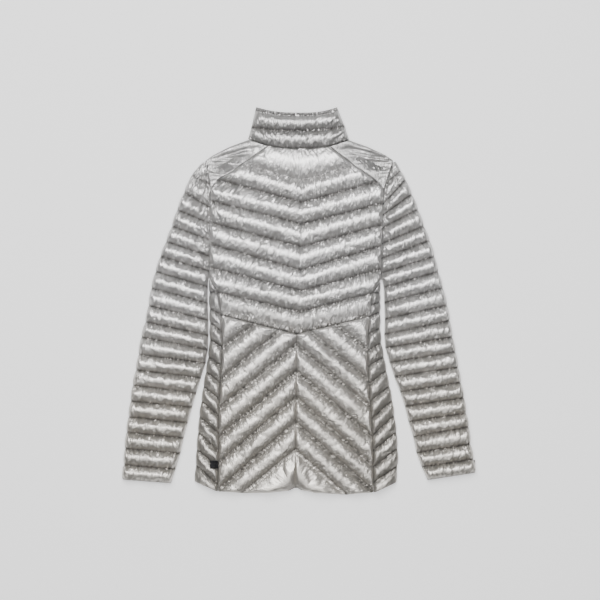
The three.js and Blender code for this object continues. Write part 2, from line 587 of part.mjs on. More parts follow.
// Zip: it lies in the gap between the fronts, its slider at the top and its face down.
const zip = { topY: 352, bottomY: -355, tapeInner: 3.1, tapeZ: 5.6, tapeThickness: 0.8 }
const chain = { halfWidth: 2.8, z: 4.8, height: 2.4 }
const slider = {
  y: 336, length: 12, halfWidth: 6.2, taper: 1.8, shoulder: 2, faceZ: 2.9, plate: 1.4, backZ: 7.6
}
const post = { halfWidth: 1.4, start: 2, end: 5 } // joins the slider's two plates
const joint = 0.5 // how deep the slider's parts reach into its plates
const bail = { halfWidth: 1.1, halfLength: 3, leg: 1.1, z: 0.2, bar: 0.8 }
const pull = { axisZ: 1.9, barRadius: 0.55, thickness: 1.1, length: 24, halfWidth: 3.6 }
const pullEye = { length: 6, halfWidth: 2.1 }
const pullGrip = { length: 9, beyond: 2, wider: 0.6, bottomZ: 0.1, topZ: 2.6 }

const wasm = await Module()
wasm.setup()

function toSolid(geometry) {
  geometry.deleteAttribute('normal')
  geometry.deleteAttribute('uv')
  const merged = mergeVertices(geometry)
  return new wasm.Manifold(new wasm.Mesh({
    numProp: 3,
    vertProperties: new Float32Array(merged.attributes.position.array),
    triVerts: new Uint32Array(merged.index.array)
  }))
}

function fromSolid(solid) {
  const { vertProperties, triVerts } = solid.getMesh()
  const geometry = new THREE.BufferGeometry()
  geometry.setAttribute('position', new THREE.BufferAttribute(new Float32Array(vertProperties), 3))
  geometry.setIndex(new THREE.BufferAttribute(new Uint32Array(triVerts), 1))
  return geometry
}

// A block from its lowest to its highest corner.
function block(low, high) {
  const size = high.map((v, i) => v - low[i])
  const centre = high.map((v, i) => (v + low[i]) / 2)
  return new THREE.BoxGeometry(...size).translate(...centre)
}

function zipTape(side) {
  const outward = side === 'left' ? -1 : 1
  const xs = [outward * zip.tapeInner, outward * (zipHalfGap - seamGap)].sort((a, b) => a - b)
  const geometry = block(
    [xs[0], zip.bottomY, zip.tapeZ],
    [xs[1], zip.topY, zip.tapeZ + zip.tapeThickness]
  )
  return named(`zip_tape_${side}`, geometry, tapeCloth)
}

function zipChain() {
  const top = slider.y + 1
  const low = [-chain.halfWidth, zip.bottomY, chain.z]
  return named('zip_chain', block(low, [chain.halfWidth, top, chain.z + chain.height]), zipMetal)
}

function sliderPlate(z) {
  const end = slider.length / 2
  const wide = slider.halfWidth
  const narrow = slider.halfWidth - slider.taper
  const outline = new THREE.Shape([
    new THREE.Vector2(-narrow, -end), new THREE.Vector2(narrow, -end), new THREE.Vector2(wide, 1),
    new THREE.Vector2(wide, end - slider.shoulder), new THREE.Vector2(narrow, end),
    new THREE.Vector2(-narrow, end), new THREE.Vector2(-wide, end - slider.shoulder),
    new THREE.Vector2(-wide, 1)
  ])
  const geometry = new THREE.ExtrudeGeometry(outline, { depth: slider.plate, bevelEnabled: false })
  return toSolid(geometry.translate(0, slider.y, z))
}

function zipSlider() {
  const { y } = slider
  const middle = block(
    [-post.halfWidth, y + post.start, slider.faceZ + slider.plate - joint],
    [post.halfWidth, y + post.end, slider.backZ + joint]
  )
  const bar = block([-bail.halfWidth, y - bail.halfLength, bail.z],
    [bail.halfWidth, y + bail.halfLength, bail.z + bail.bar])
  const legs = [-1, 1].map((way) => {
    const ends = [y + way * bail.halfLength, y + way * (bail.halfLength - bail.leg)].sort((a, b) => a - b)
    return block([-bail.halfWidth, ends[0], bail.z], [bail.halfWidth, ends[1], slider.faceZ + joint])
  })
  let solid = sliderPlate(slider.faceZ).add(sliderPlate(slider.backZ))
  for (const piece of [middle, bar, ...legs]) solid = solid.add(toSolid(piece))
  return named('zip_slider', fromSolid(solid), zipMetal)
}

// The pull turns on the bar of its eye, which lies inside the slider's bail.
function zipPull() {
  const flat = pull.axisZ - pull.thickness / 2
  const arms = [-1, 1].map((way) => {
    const xs = [way * pullEye.halfWidth, way * pull.halfWidth].sort((a, b) => a - b)
    return block([xs[0], -pullEye.length - 1, flat], [xs[1], 0, flat + pull.thickness])
  })
  const plate = block([-pull.halfWidth, -pull.length, flat],
    [pull.halfWidth, -pullEye.length, flat + pull.thickness])
  const grip = block(
    [-pull.halfWidth - pullGrip.wider, -pull.length - pullGrip.beyond, pullGrip.bottomZ],
    [pull.halfWidth + pullGrip.wider, -pull.length + pullGrip.length, pullGrip.topZ]
  )
  const bar = new THREE.CylinderGeometry(pull.barRadius, pull.barRadius, 2 * pull.halfWidth, 12)
  bar.rotateZ(Math.PI / 2).translate(0, 0, pull.axisZ)
  let solid = toSolid(plate)
  for (const piece of [...arms, grip, bar]) solid = solid.add(toSolid(piece))
  return named('zip_pull', fromSolid(solid).translate(0, slider.y, 0), zipMetal)
}

const jacket = new THREE.Group()
const sides = ['left', 'right']
jacket.add(upperBack())
for (const side of sides) {
  jacket.add(lowerBack(side), sidePanel(side), yoke(side), sleeve(side), front(side), zipTape(side))
}
jacket.add(collar(), zipChain(), zipSlider(), zipPull())
jacket.add(hemPatch(jacket.getObjectByName('side_panel_left')))

export default jacket
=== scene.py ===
import json
from math import cos, exp, pi, sin, sqrt

import bmesh
import bpy
from mathutils import Matrix, Vector, noise
from mathutils.bvhtree import BVHTree

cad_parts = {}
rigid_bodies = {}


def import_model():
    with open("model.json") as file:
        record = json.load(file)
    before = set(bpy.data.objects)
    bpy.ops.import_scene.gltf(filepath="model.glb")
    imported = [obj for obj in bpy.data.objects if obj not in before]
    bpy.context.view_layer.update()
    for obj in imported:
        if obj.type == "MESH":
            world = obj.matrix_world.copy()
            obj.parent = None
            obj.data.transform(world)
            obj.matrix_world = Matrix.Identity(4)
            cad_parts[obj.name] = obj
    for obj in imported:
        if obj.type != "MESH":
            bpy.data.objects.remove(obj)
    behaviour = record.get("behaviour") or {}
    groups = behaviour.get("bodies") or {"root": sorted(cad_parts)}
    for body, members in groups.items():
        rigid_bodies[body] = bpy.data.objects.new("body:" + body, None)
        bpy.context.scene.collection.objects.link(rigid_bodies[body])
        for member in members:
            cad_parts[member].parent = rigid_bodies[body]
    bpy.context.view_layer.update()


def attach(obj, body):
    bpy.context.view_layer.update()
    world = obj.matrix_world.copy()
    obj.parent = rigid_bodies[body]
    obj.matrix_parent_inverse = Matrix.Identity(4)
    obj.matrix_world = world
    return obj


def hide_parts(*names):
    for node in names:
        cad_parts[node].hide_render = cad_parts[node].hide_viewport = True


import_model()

mm = 0.001
print("frame loaded")


# camera straight above, as the photo was taken
cameraView = {"height": 3.4, "across": 1.14, "x": 0.0005, "y": 0.0014}
camData = bpy.data.cameras.new("camera")
camData.sensor_width = 36
camData.lens = 36 * cameraView["height"] / cameraView["across"]
cam = bpy.data.objects.new("camera", camData)
cam.location = (cameraView["x"], cameraView["y"], cameraView["height"])
bpy.context.collection.objects.link(cam)
bpy.context.scene.camera = cam
print("camera placed")


# shared measures of the quilting, in millimetres
quilt = {
    "inside": 12.0,    # plain inside of the back, over the fronts
    "stitch": 13.8,    # height of the stitched lines
    "frames": 14,
    "lean": 0.35,      # how far the gathers lean over, in radians
    "cap": 9.0,        # how far the down may push a point
    "tight": 0.35,     # share of the gathers that is left in a stitched line
    "pressed": 1.5,    # how strongly the listed creases are pressed in
}
seamGap = 0.12         # half the gap between two pieces at a seam
collarCurve = 2.6      # the collar's lines sag in the middle with this power


def lerp(a, b, t):
    return a + (b - a) * t


def rowAt(rows, at):
    # a row of a table, every number blended between its neighbours
    i = 0
    while i < len(rows) - 2 and rows[i + 1][0] <= at:
        i += 1
    a, b = rows[i], rows[i + 1]
    t = (at - a[0]) / (b[0] - a[0])
    return [lerp(p, q, t) for p, q in zip(a, b)]


def xAt(line, y):
    # x on a line of points that runs down the jacket
    i = 0
    while i < len(line) - 2 and line[i + 1][1] > y:
        i += 1
    (xa, ya), (xb, yb) = line[i], line[i + 1]
    return lerp(xa, xb, (y - ya) / (yb - ya))


def yAcross(left, middle, right, x, power=1):
    # y on a line over a middle point between two ends
    end = left if x < middle[0] else right
    t = abs((x - middle[0]) / (end[0] - middle[0]))
    return lerp(middle[1], end[1], t ** power)


def rolled(distance, width):
    # rises from 0 to 1 like a rounded edge of this width
    t = min(1, max(0, distance / width))
    return sqrt(1 - (1 - t) ** 2)


def smooth(t):
    t = min(1, max(0, t))
    return t * t * (3 - 2 * t)


def spread(count, ease=0.6):
    # shares from 0 to 1, closer together towards both ends
    steps = [i / count for i in range(count + 1)]
    return [lerp(t, 0.5 - 0.5 * cos(pi * t), ease) for t in steps]


def wobble(x, y, scale, seed):
    # smooth noise from -1 to 1 at a place on the jacket
    return noise.noise(Vector((x / scale, y / scale, seed)))


def rowPlaces(last, part):
    # the rows of a quilted piece: two rows of stitching close together, then loose rows
    places = []
    e = part["twin"]
    k = 0
    while k < last:
        places.append(k)
        places += [k + lerp(e, 1 - e, i / part["steps"]) for i in range(part["steps"] + 1)]
        k += 1
    places.append(k)
    return [p for p in places if p < last - 0.01] + [last]


def stitched(at, last, part):
    return abs(at - round(at)) < part["twin"] * 1.2 or at == last


def fullness(at, part):
    # how far a baffle stands up between its stitches, from 0 to 1; the down lies towards the hem
    e = part["twin"]
    t = (at % 1 - e) / (1 - 2 * e)
    return sin(pi * t ** 1.08) ** 0.6 if 0 < t < 1 else 0


def gathering(at):
    # cloth gathers most beside the stitches, a little more below them than above
    t = at % 1
    return 0.12 + 0.88 * max(1 - t / 0.4, 1 - (1 - t) / 0.46, 0)


def ridge(at, last, part):
    # the cloth stands up between the two rows of stitching
    return part["ridge"] if abs(at - round(at)) < 1e-6 and 0 < at < last else 0


# listed creases: x and y of both ends, depth, width; they fade towards their ends
creases = {
    "shoulder left": [
        (-150, 270, -90, 262, 2.6, 5.0), (-120, 284, -72, 290, 1.6, 3.5),
        (-180, 266, -104, 284, 2.6, 3.0), (-180, 265, -100, 274, 3.0, 2.6), (-178, 262, -108, 264, 2.6, 2.4),
        (-180, 257, -118, 250, 5.6, 8.0), (-172, 246, -136, 240, 2.2, 2.6), (-170, 236, -144, 234, 2.4, 2.4),
        (-168, 226, -152, 229, 1.6, 2.0), (-150, 276, -96, 287, 1.8, 4.5), (-130, 268, -84, 271, 1.6, 5.0)],
    "shoulder right": [
        (168, 270, 100, 274, 2.6, 2.6), (150, 262, 84, 262, 2.2, 4.0), (130, 285, 74, 287, 1.6, 2.6),
        (178, 268, 88, 291, 2.8, 3.4), (178, 266, 92, 282, 3.0, 2.4), (178, 264, 90, 270, 3.2, 3.2),
        (176, 262, 116, 264, 3.0, 2.6), (176, 257, 122, 255, 5.4, 7.5), (170, 248, 142, 247, 2.2, 2.4),
        (166, 240, 148, 240, 1.8, 2.0), (164, 232, 150, 233, 1.6, 2.0), (130, 276, 76, 280, 2.0, 4.5)],
    "armhole left": [
        (-172, 258, -178, 214, 2.6, 2.6), (-180, 250, -188, 205, 2.2, 3.0), (-174, 236, -170, 190, 2.6, 2.2),
        (-176, 216, -186, 168, 2.4, 2.8), (-180, 200, -206, 172, 1.8, 2.6), (-174, 186, -170, 150, 2.0, 2.2),
        (-178, 176, -196, 140, 2.0, 2.8), (-176, 150, -190, 118, 1.8, 2.6), (-174, 128, -184, 92, 1.6, 2.4),
        (-170, 206, -150, 176, 1.6, 2.4), (-168, 186, -150, 152, 1.4, 2.2), (-196, 226, -214, 190, 1.4, 2.4)],
    "armhole right": [
        (170, 240, 160, 196, 1.8, 2.2), (178, 250, 186, 212, 1.8, 2.6), (184, 232, 172, 196, 1.6, 2.6),
        (164, 190, 178, 160, 1.6, 2.4), (160, 176, 166, 140, 1.6, 2.2), (196, 236, 208, 204, 1.2, 2.4)],
    "collar left": [
        (-94, 327, -84, 330, 2.2, 1.6), (-96, 318, -84, 319, 3.0, 1.8), (-96, 312, -86, 304, 2.4, 1.8),
        (-74, 326, -62, 306, 1.6, 2.0), (-60, 324, -46, 304, 1.6, 1.9), (-50, 323, -38, 303, 1.4, 1.9)],
    "collar right": [
        (80, 352, 46, 324, 1.8, 2.0), (84, 342, 56, 323, 1.6, 1.9), (84, 318, 58, 297, 2.2, 2.1),
        (88, 322, 70, 302, 2.0, 2.0), (60, 330, 40, 308, 1.3, 1.9), (44, 348, 20, 322, 1.2, 2.0),
        (30, 318, 8, 296, 1.3, 1.9), (70, 324, 46, 303, 1.4, 1.8)],
    "centre back": [
        (4, 226, 6, 206, 1.4, 2.2), (3, 184, 0, 166, 1.2, 2.0), (4, 142, 2, 126, 1.2, 2.0),
        (-8, -76, -10, -96, 1.6, 2.2), (-8, -128, -10, -150, 1.8, 2.4), (-8, -180, -6, -202, 1.8, 2.4),
        (-8, -230, -10, -250, 1.6, 2.2), (-12, -286, -20, -312, 1.2, 2.6)],
    "hem": [
        (-58, -316, -66, -340, 1.6, 4.0), (-34, -300, -30, -336, 1.4, 4.5), (14, -322, 24, -346, 1.5, 4.0),
        (44, -330, 40, -352, 1.3, 4.0), (-90, -340, -84, -358, 1.2, 3.5), (66, -342, 74, -358, 1.1, 3.5)],
}
allCreases = [c for group in creases.values() for c in group]


def creaseDepth(x, y):
    depth = 0
    for x1, y1, x2, y2, deep, width in allCreases:
        if min(x1, x2) - 8 > x or max(x1, x2) + 8 < x or min(y1, y2) - 8 > y or max(y1, y2) + 8 < y:
            continue
        dx, dy = x2 - x1, y2 - y1
        t = ((x - x1) * dx + (y - y1) * dy) / (dx * dx + dy * dy)
        off = abs((x - x1) * dy - (y - y1) * dx) / sqrt(dx * dx + dy * dy)
        if -0.1 < t < 1.1:
            depth += deep * exp(-((off / width) ** 2)) * sin(pi * min(1, max(0, t * 0.9 + 0.05)))
    return depth * quilt["pressed"]


def clothPlace(x, y, start, end):
    # a place on the cloth, measured along the row and across it, leaning a little to the right
    run = Vector((end[0] - start[0], end[1] - start[1]))
    if run.length < 8:
        return x, y
    run = Matrix.Rotation(-quilt["lean"], 2) @ run.normalized()
    return x * run.x + y * run.y, y * run.x - x * run.y


def pucker(place, seed):
    # short gathers that cross the stitching: fine along the row, long across it
    along, across = place
    fine = noise.noise(Vector((along / 4, across / 14, seed)))
    wide = noise.noise(Vector((along / 11, across / 22, seed + 20)))
    crease = 1 - min(1, abs(noise.noise(Vector((along / 8, across / 18, seed + 40)))) * 5)
    return 0.6 * fine + 1.1 * wide - 1.6 * crease


def makeSkin(name, sections, grow=0, anchor=0):
    # a grid laid over the sections: a list of (x, y, z, loose, gather, place) for each row;
    # the cut cloth is longer along each row by grow, where gather is 1
    columns = len(sections[0]) - 1
    rows = len(sections) - 1
    bm = bmesh.new()
    bmesh.ops.create_grid(bm, x_segments=columns, y_segments=rows, size=0.5)
    uvLayer = bm.loops.layers.uv.new("cloth")
    gathered = bm.verts.layers.float.new("gather")
    pinned, cut = [], []
    for v in bm.verts:
        c = round((v.co.x + 0.5) * columns)
        r = round((0.5 - v.co.y) * rows)
        x, y, z, loose, gather, place = sections[r][c]
        v[gathered] = gather
        for loop in v.link_loops:
            loop[uvLayer].uv = Vector(place) * 0.01
        v.co = (x * mm, y * mm, z * mm)
        middle = Vector(sections[r][anchor][:3]) * mm
        cut.append(middle + (v.co - middle) * (1 + grow * gather))
        if not loose:
            pinned.append(v.index)
    mesh = bpy.data.meshes.new(name)
    bm.to_mesh(mesh)
    bm.free()
    obj = bpy.data.objects.new(name, mesh)
    bpy.context.collection.objects.link(obj)
    obj.vertex_groups.new(name="pins").add(pinned, 1.0, "REPLACE")
    if grow:
        obj.shape_key_add(name="Basis")
        key = obj.shape_key_add(name="cut")
        for i, co in enumerate(cut):
            key.data[i].co = co
    return obj


def inflate(obj, part):
    # down pushes the loose cloth out between its pinned stitches, and it puckers there
    start = [v.co.copy() for v in obj.data.vertices]
    mod = obj.modifiers.new("down", "CLOTH")
    cloth = mod.settings
    cloth.quality = 4
    cloth.mass = 0.1
    cloth.air_damping = 2
    cloth.tension_stiffness = 12
    cloth.compression_stiffness = 12
    cloth.shear_stiffness = 4
    cloth.bending_stiffness = 0.03
    cloth.vertex_group_mass = "pins"
    cloth.pin_stiffness = 10
    cloth.use_pressure = True
    cloth.uniform_pressure_force = part["pressure"]
    cloth.shrink_min = -0.012
    cloth.rest_shape_key = obj.data.shape_keys.key_blocks["cut"]
    cloth.effector_weights.gravity = 0
    mod.collision_settings.use_collision = False
    mod.collision_settings.use_self_collision = False
    mod.point_cache.frame_start = 1
    mod.point_cache.frame_end = quilt["frames"]
    for f in range(1, quilt["frames"] + 1):
        bpy.context.scene.frame_set(f)
    settled = obj.evaluated_get(bpy.context.evaluated_depsgraph_get())
    moved = [v.co.copy() for v in settled.data.vertices]
    obj.modifiers.clear()
    obj.shape_key_clear()
    for v, a, b in zip(obj.data.vertices, start, moved):
        step = b - a
        if step.length > quilt["cap"] * mm:
            step = step.normalized() * quilt["cap"] * mm
        v.co = a + step
        v.co.z = max(v.co.z, 0)
    bpy.context.scene.frame_set(1)


def crumple(obj, above=6.0):
    # presses the listed creases into the upper side
    for v in obj.data.vertices:
        if v.co.z > above * mm:
            fade = min(1, (v.co.z / mm - above) / 5)
            v.co.z -= creaseDepth(v.co.x / mm, v.co.y / mm) * fade * mm


def closeOver(obj, level):
    # walls down from the border of an open skin, and a plain inside
    bm = bmesh.new()
    bm.from_mesh(obj.data)
    border = [e for e in bm.edges if e.is_boundary]
    walls = bmesh.ops.extrude_edge_only(bm, edges=border)["geom"]
    for v in [g for g in walls if isinstance(g, bmesh.types.BMVert)]:
        v.co.z = level * mm
    bmesh.ops.contextual_create(bm, geom=[e for e in bm.edges if e.is_boundary])
    bmesh.ops.recalc_face_normals(bm, faces=bm.faces)
    bm.to_mesh(obj.data)
    bm.free()


def closeRound(obj, mouth=None):
    # joins the two long borders of a rolled skin; mouth is how deep its last end opens
    bm = bmesh.new()
    bm.from_mesh(obj.data)
    bmesh.ops.remove_doubles(bm, verts=[v for v in bm.verts if v.is_boundary], dist=0.00002)
    if mouth:
        ends = [e for e in bm.edges if e.is_boundary]
        lowest = min(v.co.y for e in ends for v in e.verts)
        cuff = [e for e in ends if min(v.co.y for v in e.verts) < lowest + 0.04]
        lip = bmesh.ops.extrude_edge_only(bm, edges=cuff)["geom"]
        for v in [g for g in lip if isinstance(g, bmesh.types.BMVert)]:
            v.co.y += 0.002
            v.co.z = lerp(v.co.z, 0.005, 0.35)
        inside = [g for g in lip if isinstance(g, bmesh.types.BMEdge)]
        deep = bmesh.ops.extrude_edge_only(bm, edges=inside)["geom"]
        for v in [g for g in deep if isinstance(g, bmesh.types.BMVert)]:
            v.co.y += mouth * mm
            v.co.z = lerp(v.co.z, 0.005, 0.7)
    bmesh.ops.holes_fill(bm, edges=[e for e in bm.edges if e.is_boundary], sides=0)
    bmesh.ops.recalc_face_normals(bm, faces=bm.faces)
    bm.to_mesh(obj.data)
    bm.free()


def finishPiece(obj, body, nodes, material):
    obj.data.shade_smooth()
    obj.vertex_groups.clear()
    obj.data.materials.append(material)
    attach(obj, body)
    if nodes:
        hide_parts(*nodes)
    print("made", obj.name, len(obj.data.polygons), "faces")


# seam lines that pieces share, in millimetres, running down the jacket
armholes = {
    "left": [
        (-179, 265), (-168.5, 212), (-171, 42)],
    "right": [
        (177, 266), (158.5, 211), (153, 39)],
}
sideSeams = {
    "left": [
        (-171, 42), (-154, 16), (-147, -28), (-146, -88), (-150, -155), (-153, -218), (-152.5, -286),
        (-155, -361)],
    "right": [
        (153, 39), (138.5, 15), (131, -30), (129, -95), (130, -150), (134, -201), (138, -258),
        (140, -361)],
}
sideEdges = {
    "left": [
        (-172.5, 44), (-171, 20), (-170, -42), (-170, -76), (-173, -107), (-182, -162), (-190, -220),
        (-195, -282), (-198, -342)],
    "right": [
        (154, 40), (152, 20), (152, -52), (154, -80), (164, -133), (175, -189), (183, -249),
        (186, -300), (182, -344)],
}
waist = [(-147, -28), (-6, -63), (131, -30)]
centreSeam = [(-6, -63), (-9, -360)]
collarSeam = [(-98, 307), (3, 288), (94, 305)]


def collarSeamY(x):
    return yAcross(*collarSeam, x, collarCurve)


# silver nylon: a fine weave with thread-fine gathers, with painted shade that makes it a little darker
# and of a warm tint towards the hem, and painted shade where it is drawn into the stitching
nylon = bpy.data.materials.new("silver nylon")
nylon.use_nodes = True
nodes = nylon.node_tree.nodes
links = nylon.node_tree.links
nylonShader = nodes["Principled BSDF"]
nylonShader.inputs["Metallic"].default_value = 0.82
nylonShader.inputs["Sheen Weight"].default_value = 0.1
place = nodes.new("ShaderNodeTexCoord")
split = nodes.new("ShaderNodeSeparateXYZ")
links.new(place.outputs["Object"], split.inputs["Vector"])
# painted shade: the cloth is darker, with a warm tint, towards the hem
hemShadeMask = nodes.new("ShaderNodeMapRange")
hemShadeMask.inputs["From Min"].default_value = 0.02
hemShadeMask.inputs["From Max"].default_value = -0.2
links.new(split.outputs["Y"], hemShadeMask.inputs["Value"])
patches = nodes.new("ShaderNodeTexNoise")
patches.inputs["Scale"].default_value = 14
patches.inputs["Detail"].default_value = 3
links.new(place.outputs["Object"], patches.inputs["Vector"])
tone = nodes.new("ShaderNodeValToRGB")
tone.color_ramp.elements[0].position = 0.3
tone.color_ramp.elements[0].color = (0.46, 0.45, 0.44, 1)
tone.color_ramp.elements[1].position = 0.7
tone.color_ramp.elements[1].color = (0.54, 0.53, 0.525, 1)
links.new(patches.outputs["Fac"], tone.inputs["Fac"])
paintedHemShade = nodes.new("ShaderNodeMix")
paintedHemShade.data_type = "RGBA"
paintedHemShade.blend_type = "MULTIPLY"
paintedHemShade.inputs["B"].default_value = (0.9, 0.87, 0.81, 1)
links.new(hemShadeMask.outputs["Result"], paintedHemShade.inputs["Factor"])
links.new(tone.outputs["Color"], paintedHemShade.inputs["A"])
gathers = nodes.new("ShaderNodeAttribute")
gathers.attribute_name = "gather"
# painted shade: the cloth is made darker where it is drawn into the stitching
stitchShadeMask = nodes.new("ShaderNodeMapRange")
stitchShadeMask.inputs["From Min"].default_value = 0.7
links.new(gathers.outputs["Fac"], stitchShadeMask.inputs["Value"])
paintedStitchShade = nodes.new("ShaderNodeMix")
paintedStitchShade.data_type = "RGBA"
paintedStitchShade.blend_type = "MULTIPLY"
paintedStitchShade.inputs["B"].default_value = (0.3, 0.295, 0.285, 1)
links.new(stitchShadeMask.outputs["Result"], paintedStitchShade.inputs["Factor"])
links.new(paintedHemShade.outputs["Result"], paintedStitchShade.inputs["A"])
links.new(paintedStitchShade.outputs["Result"], nylonShader.inputs["Base Color"])
gloss = nodes.new("ShaderNodeMapRange")
gloss.inputs["To Min"].default_value = 0.34
gloss.inputs["To Max"].default_value = 0.42
links.new(patches.outputs["Fac"], gloss.inputs["Value"])
links.new(gloss.outputs["Result"], nylonShader.inputs["Roughness"])
onCloth = nodes.new("ShaderNodeUVMap")
onCloth.uv_map = "cloth"
stretch = nodes.new("ShaderNodeMapping")
stretch.inputs["Scale"].default_value = (4, 1, 1)
links.new(onCloth.outputs["UV"], stretch.inputs["Vector"])
streaks = nodes.new("ShaderNodeTexNoise")
streaks.inputs["Scale"].default_value = 6.5
streaks.inputs["Detail"].default_value = 1.5
links.new(stretch.outputs["Vector"], streaks.inputs["Vector"])
offMiddle = nodes.new("ShaderNodeMath")
offMiddle.operation = "SUBTRACT"
offMiddle.inputs[1].default_value = 0.5
links.new(streaks.outputs["Fac"], offMiddle.inputs[0])
awayFromLine = nodes.new("ShaderNodeMath")
awayFromLine.operation = "ABSOLUTE"
links.new(offMiddle.outputs["Value"], awayFromLine.inputs[0])
creaseLine = nodes.new("ShaderNodeMapRange")
creaseLine.interpolation_type = "SMOOTHSTEP"
creaseLine.inputs["From Max"].default_value = 0.07
links.new(awayFromLine.outputs["Value"], creaseLine.inputs["Value"])
streakBump = nodes.new("ShaderNodeBump")
streakBump.inputs["Distance"].default_value = 0.0026
links.new(gathers.outputs["Fac"], streakBump.inputs["Strength"])
links.new(creaseLine.outputs["Result"], streakBump.inputs["Height"])
warp = nodes.new("ShaderNodeTexWave")
warp.inputs["Scale"].default_value = 900
warp.bands_direction = "DIAGONAL"
links.new(place.outputs["Object"], warp.inputs["Vector"])
weaveBump = nodes.new("ShaderNodeBump")
weaveBump.inputs["Strength"].default_value = 0.05
weaveBump.inputs["Distance"].default_value = 0.0002
links.new(warp.outputs["Fac"], weaveBump.inputs["Height"])
links.new(streakBump.outputs["Normal"], weaveBump.inputs["Normal"])
links.new(weaveBump.outputs["Normal"], nylonShader.inputs["Normal"])

# a darker copy of the same cloth, painted shade for the side panels, collar and yokes
paintedShadeFactor = 0.74
shadedNylon = nylon.copy()
shadedNylon.name = "silver nylon cut across"
for element in shadedNylon.node_tree.nodes[tone.name].color_ramp.elements:
    element.color = [value * paintedShadeFactor for value in element.color[:3]] + [1]
print("nylon mixed")


# upper back: V rows from the collar seam to the waist, a row is stitched where its place is whole
# place, left x and y, middle x and y, right x and y, fullness of the baffle
upperBackRows = [
    (0, -60, 293, 4, 288, 56, 293, 0.55), (1, -108, 259, 4, 228, 102, 257, 1),
    (2, -154, 229, 4, 186, 147, 225, 1), (2.34, -168.5, 212, 4, 172, 158.5, 211, 1),
    (3, -168, 189, 4, 145, 154, 185, 1), (4, -169, 148, 4, 102, 153, 144, 1),
    (5, -169, 107, 3, 58, 153, 104, 1), (6, -170, 63, 3, 19, 152, 60, 1),
    (6.34, -171, 42, 2, 6, 153, 39, 1), (7, -154, 16, 0, -21, 138.5, 15, 0.9),
    (8, -147, -28, -6, -63, 131, -30, 0)]
yokeSeams = {
    "left": [
        (-60, 293), (-108, 259), (-154, 229), (-168.5, 212)],
    "right": [
        (56, 293), (102, 257), (147, 225), (158.5, 211)],
}
upperBack = {"columns": 186, "steps": 15, "puff": 10.4, "roll": 8.0, "twin": 0.01,
             "pucker": 3.7, "pressure": 1.7, "grow": 0.12}


def upperBackEdge(side, y):
    if y > armholes[side][1][1]:
        return xAt(yokeSeams[side], y)
    if y > armholes[side][2][1]:
        return xAt(armholes[side], y)
    return xAt(sideSeams[side], y)


def upperBackSections():
    part = upperBack
    sections = []
    for at in rowPlaces(8, part):
        _, lx, ly, mx, my, rx, ry, puff = rowAt(upperBackRows, at)
        lx, rx = upperBackEdge("left", ly), upperBackEdge("right", ry)
        gather = gathering(at) * lerp(0.25, 1, min(1, max(0, at - 0.25)))
        section = []
        for u in spread(part["columns"], 0.3):
            x = lerp(lx + seamGap, rx - seamGap, u)
            y = yAcross((lx, ly), (mx, my), (rx, ry), x) if at else collarSeamY(x) - seamGap
            edge = min(x - lx, rx - x)
            spot = clothPlace(x, y, (lx, ly), (mx, my)) if x < mx else clothPlace(x, y, (mx, my), (rx, ry))
            fold = pucker(spot, 1) * part["pucker"] * gather * rolled(edge, 6)
            if stitched(at, 8, part):
                fold *= quilt["tight"]
            rise = part["puff"] * puff * fullness(at, part) * rolled(edge, part["roll"])
            loose = edge > 0.5 and not stitched(at, 8, part)
            section.append((x, y, quilt["stitch"] + rise + fold, loose, gather, spot))
        sections.append(section)
    return sections


skin = makeSkin("upper_back", upperBackSections(), upperBack["grow"], upperBack["columns"] // 2)
inflate(skin, upperBack)
crumple(skin)
closeOver(skin, quilt["inside"])
finishPiece(skin, "jacket", ["back_upper"], nylon)


# lower back: two panels that meet at the centre, their rows falling outwards
# place, start x and y on the waist or the centre, end x and y on the side seam or the hem
lowerBackRows = {
    "left": [
        (0, -146.4, -28.4, -147, -30.5), (1, -85, -45, -146, -88), (2, -37, -57, -147, -149),
        (2.67, -6, -62, -151, -186), (3, -8, -83, -152, -204), (4, -8, -133, -153, -258),
        (5, -8, -183, -152, -307), (6, -8, -230, -155, -358), (7, -8, -282, -108, -364),
        (8, -9, -354, -20, -359)],
    "right": [
        (0, 130.4, -30.4, 131, -32.5), (1, 69, -45, 129, -95), (2, 18, -57, 129, -150),
        (2.67, -5, -62, 132, -184), (3, -7, -83, 133, -201), (4, -7, -133, 137, -258),
        (5, -7, -183, 141, -313), (6, -7, -231, 138, -361), (7, -8, -283, 88, -366),
        (8, -8, -352, 3, -357)],
}
hemLine = {
    "left": [
        (-155, -361), (-108, -364), (-60, -364), (-9, -358)],
    "right": [
        (138, -363), (88, -367), (30, -364), (-9, -356)],
}
lowerBack = {"columns": 84, "steps": 14, "puff": 10.0, "roll": 7.0, "twin": 0.03, "ridge": 1.4,
             "pucker": 1.9, "pressure": 1.7, "grow": 0.06}


def yOnHem(side, x):
    line = hemLine[side]
    i = 0
    while i < len(line) - 2 and abs(x - line[0][0]) > abs(line[i + 1][0] - line[0][0]):
        i += 1
    (xa, ya), (xb, yb) = line[i], line[i + 1]
    return lerp(ya, yb, (x - xa) / (xb - xa))


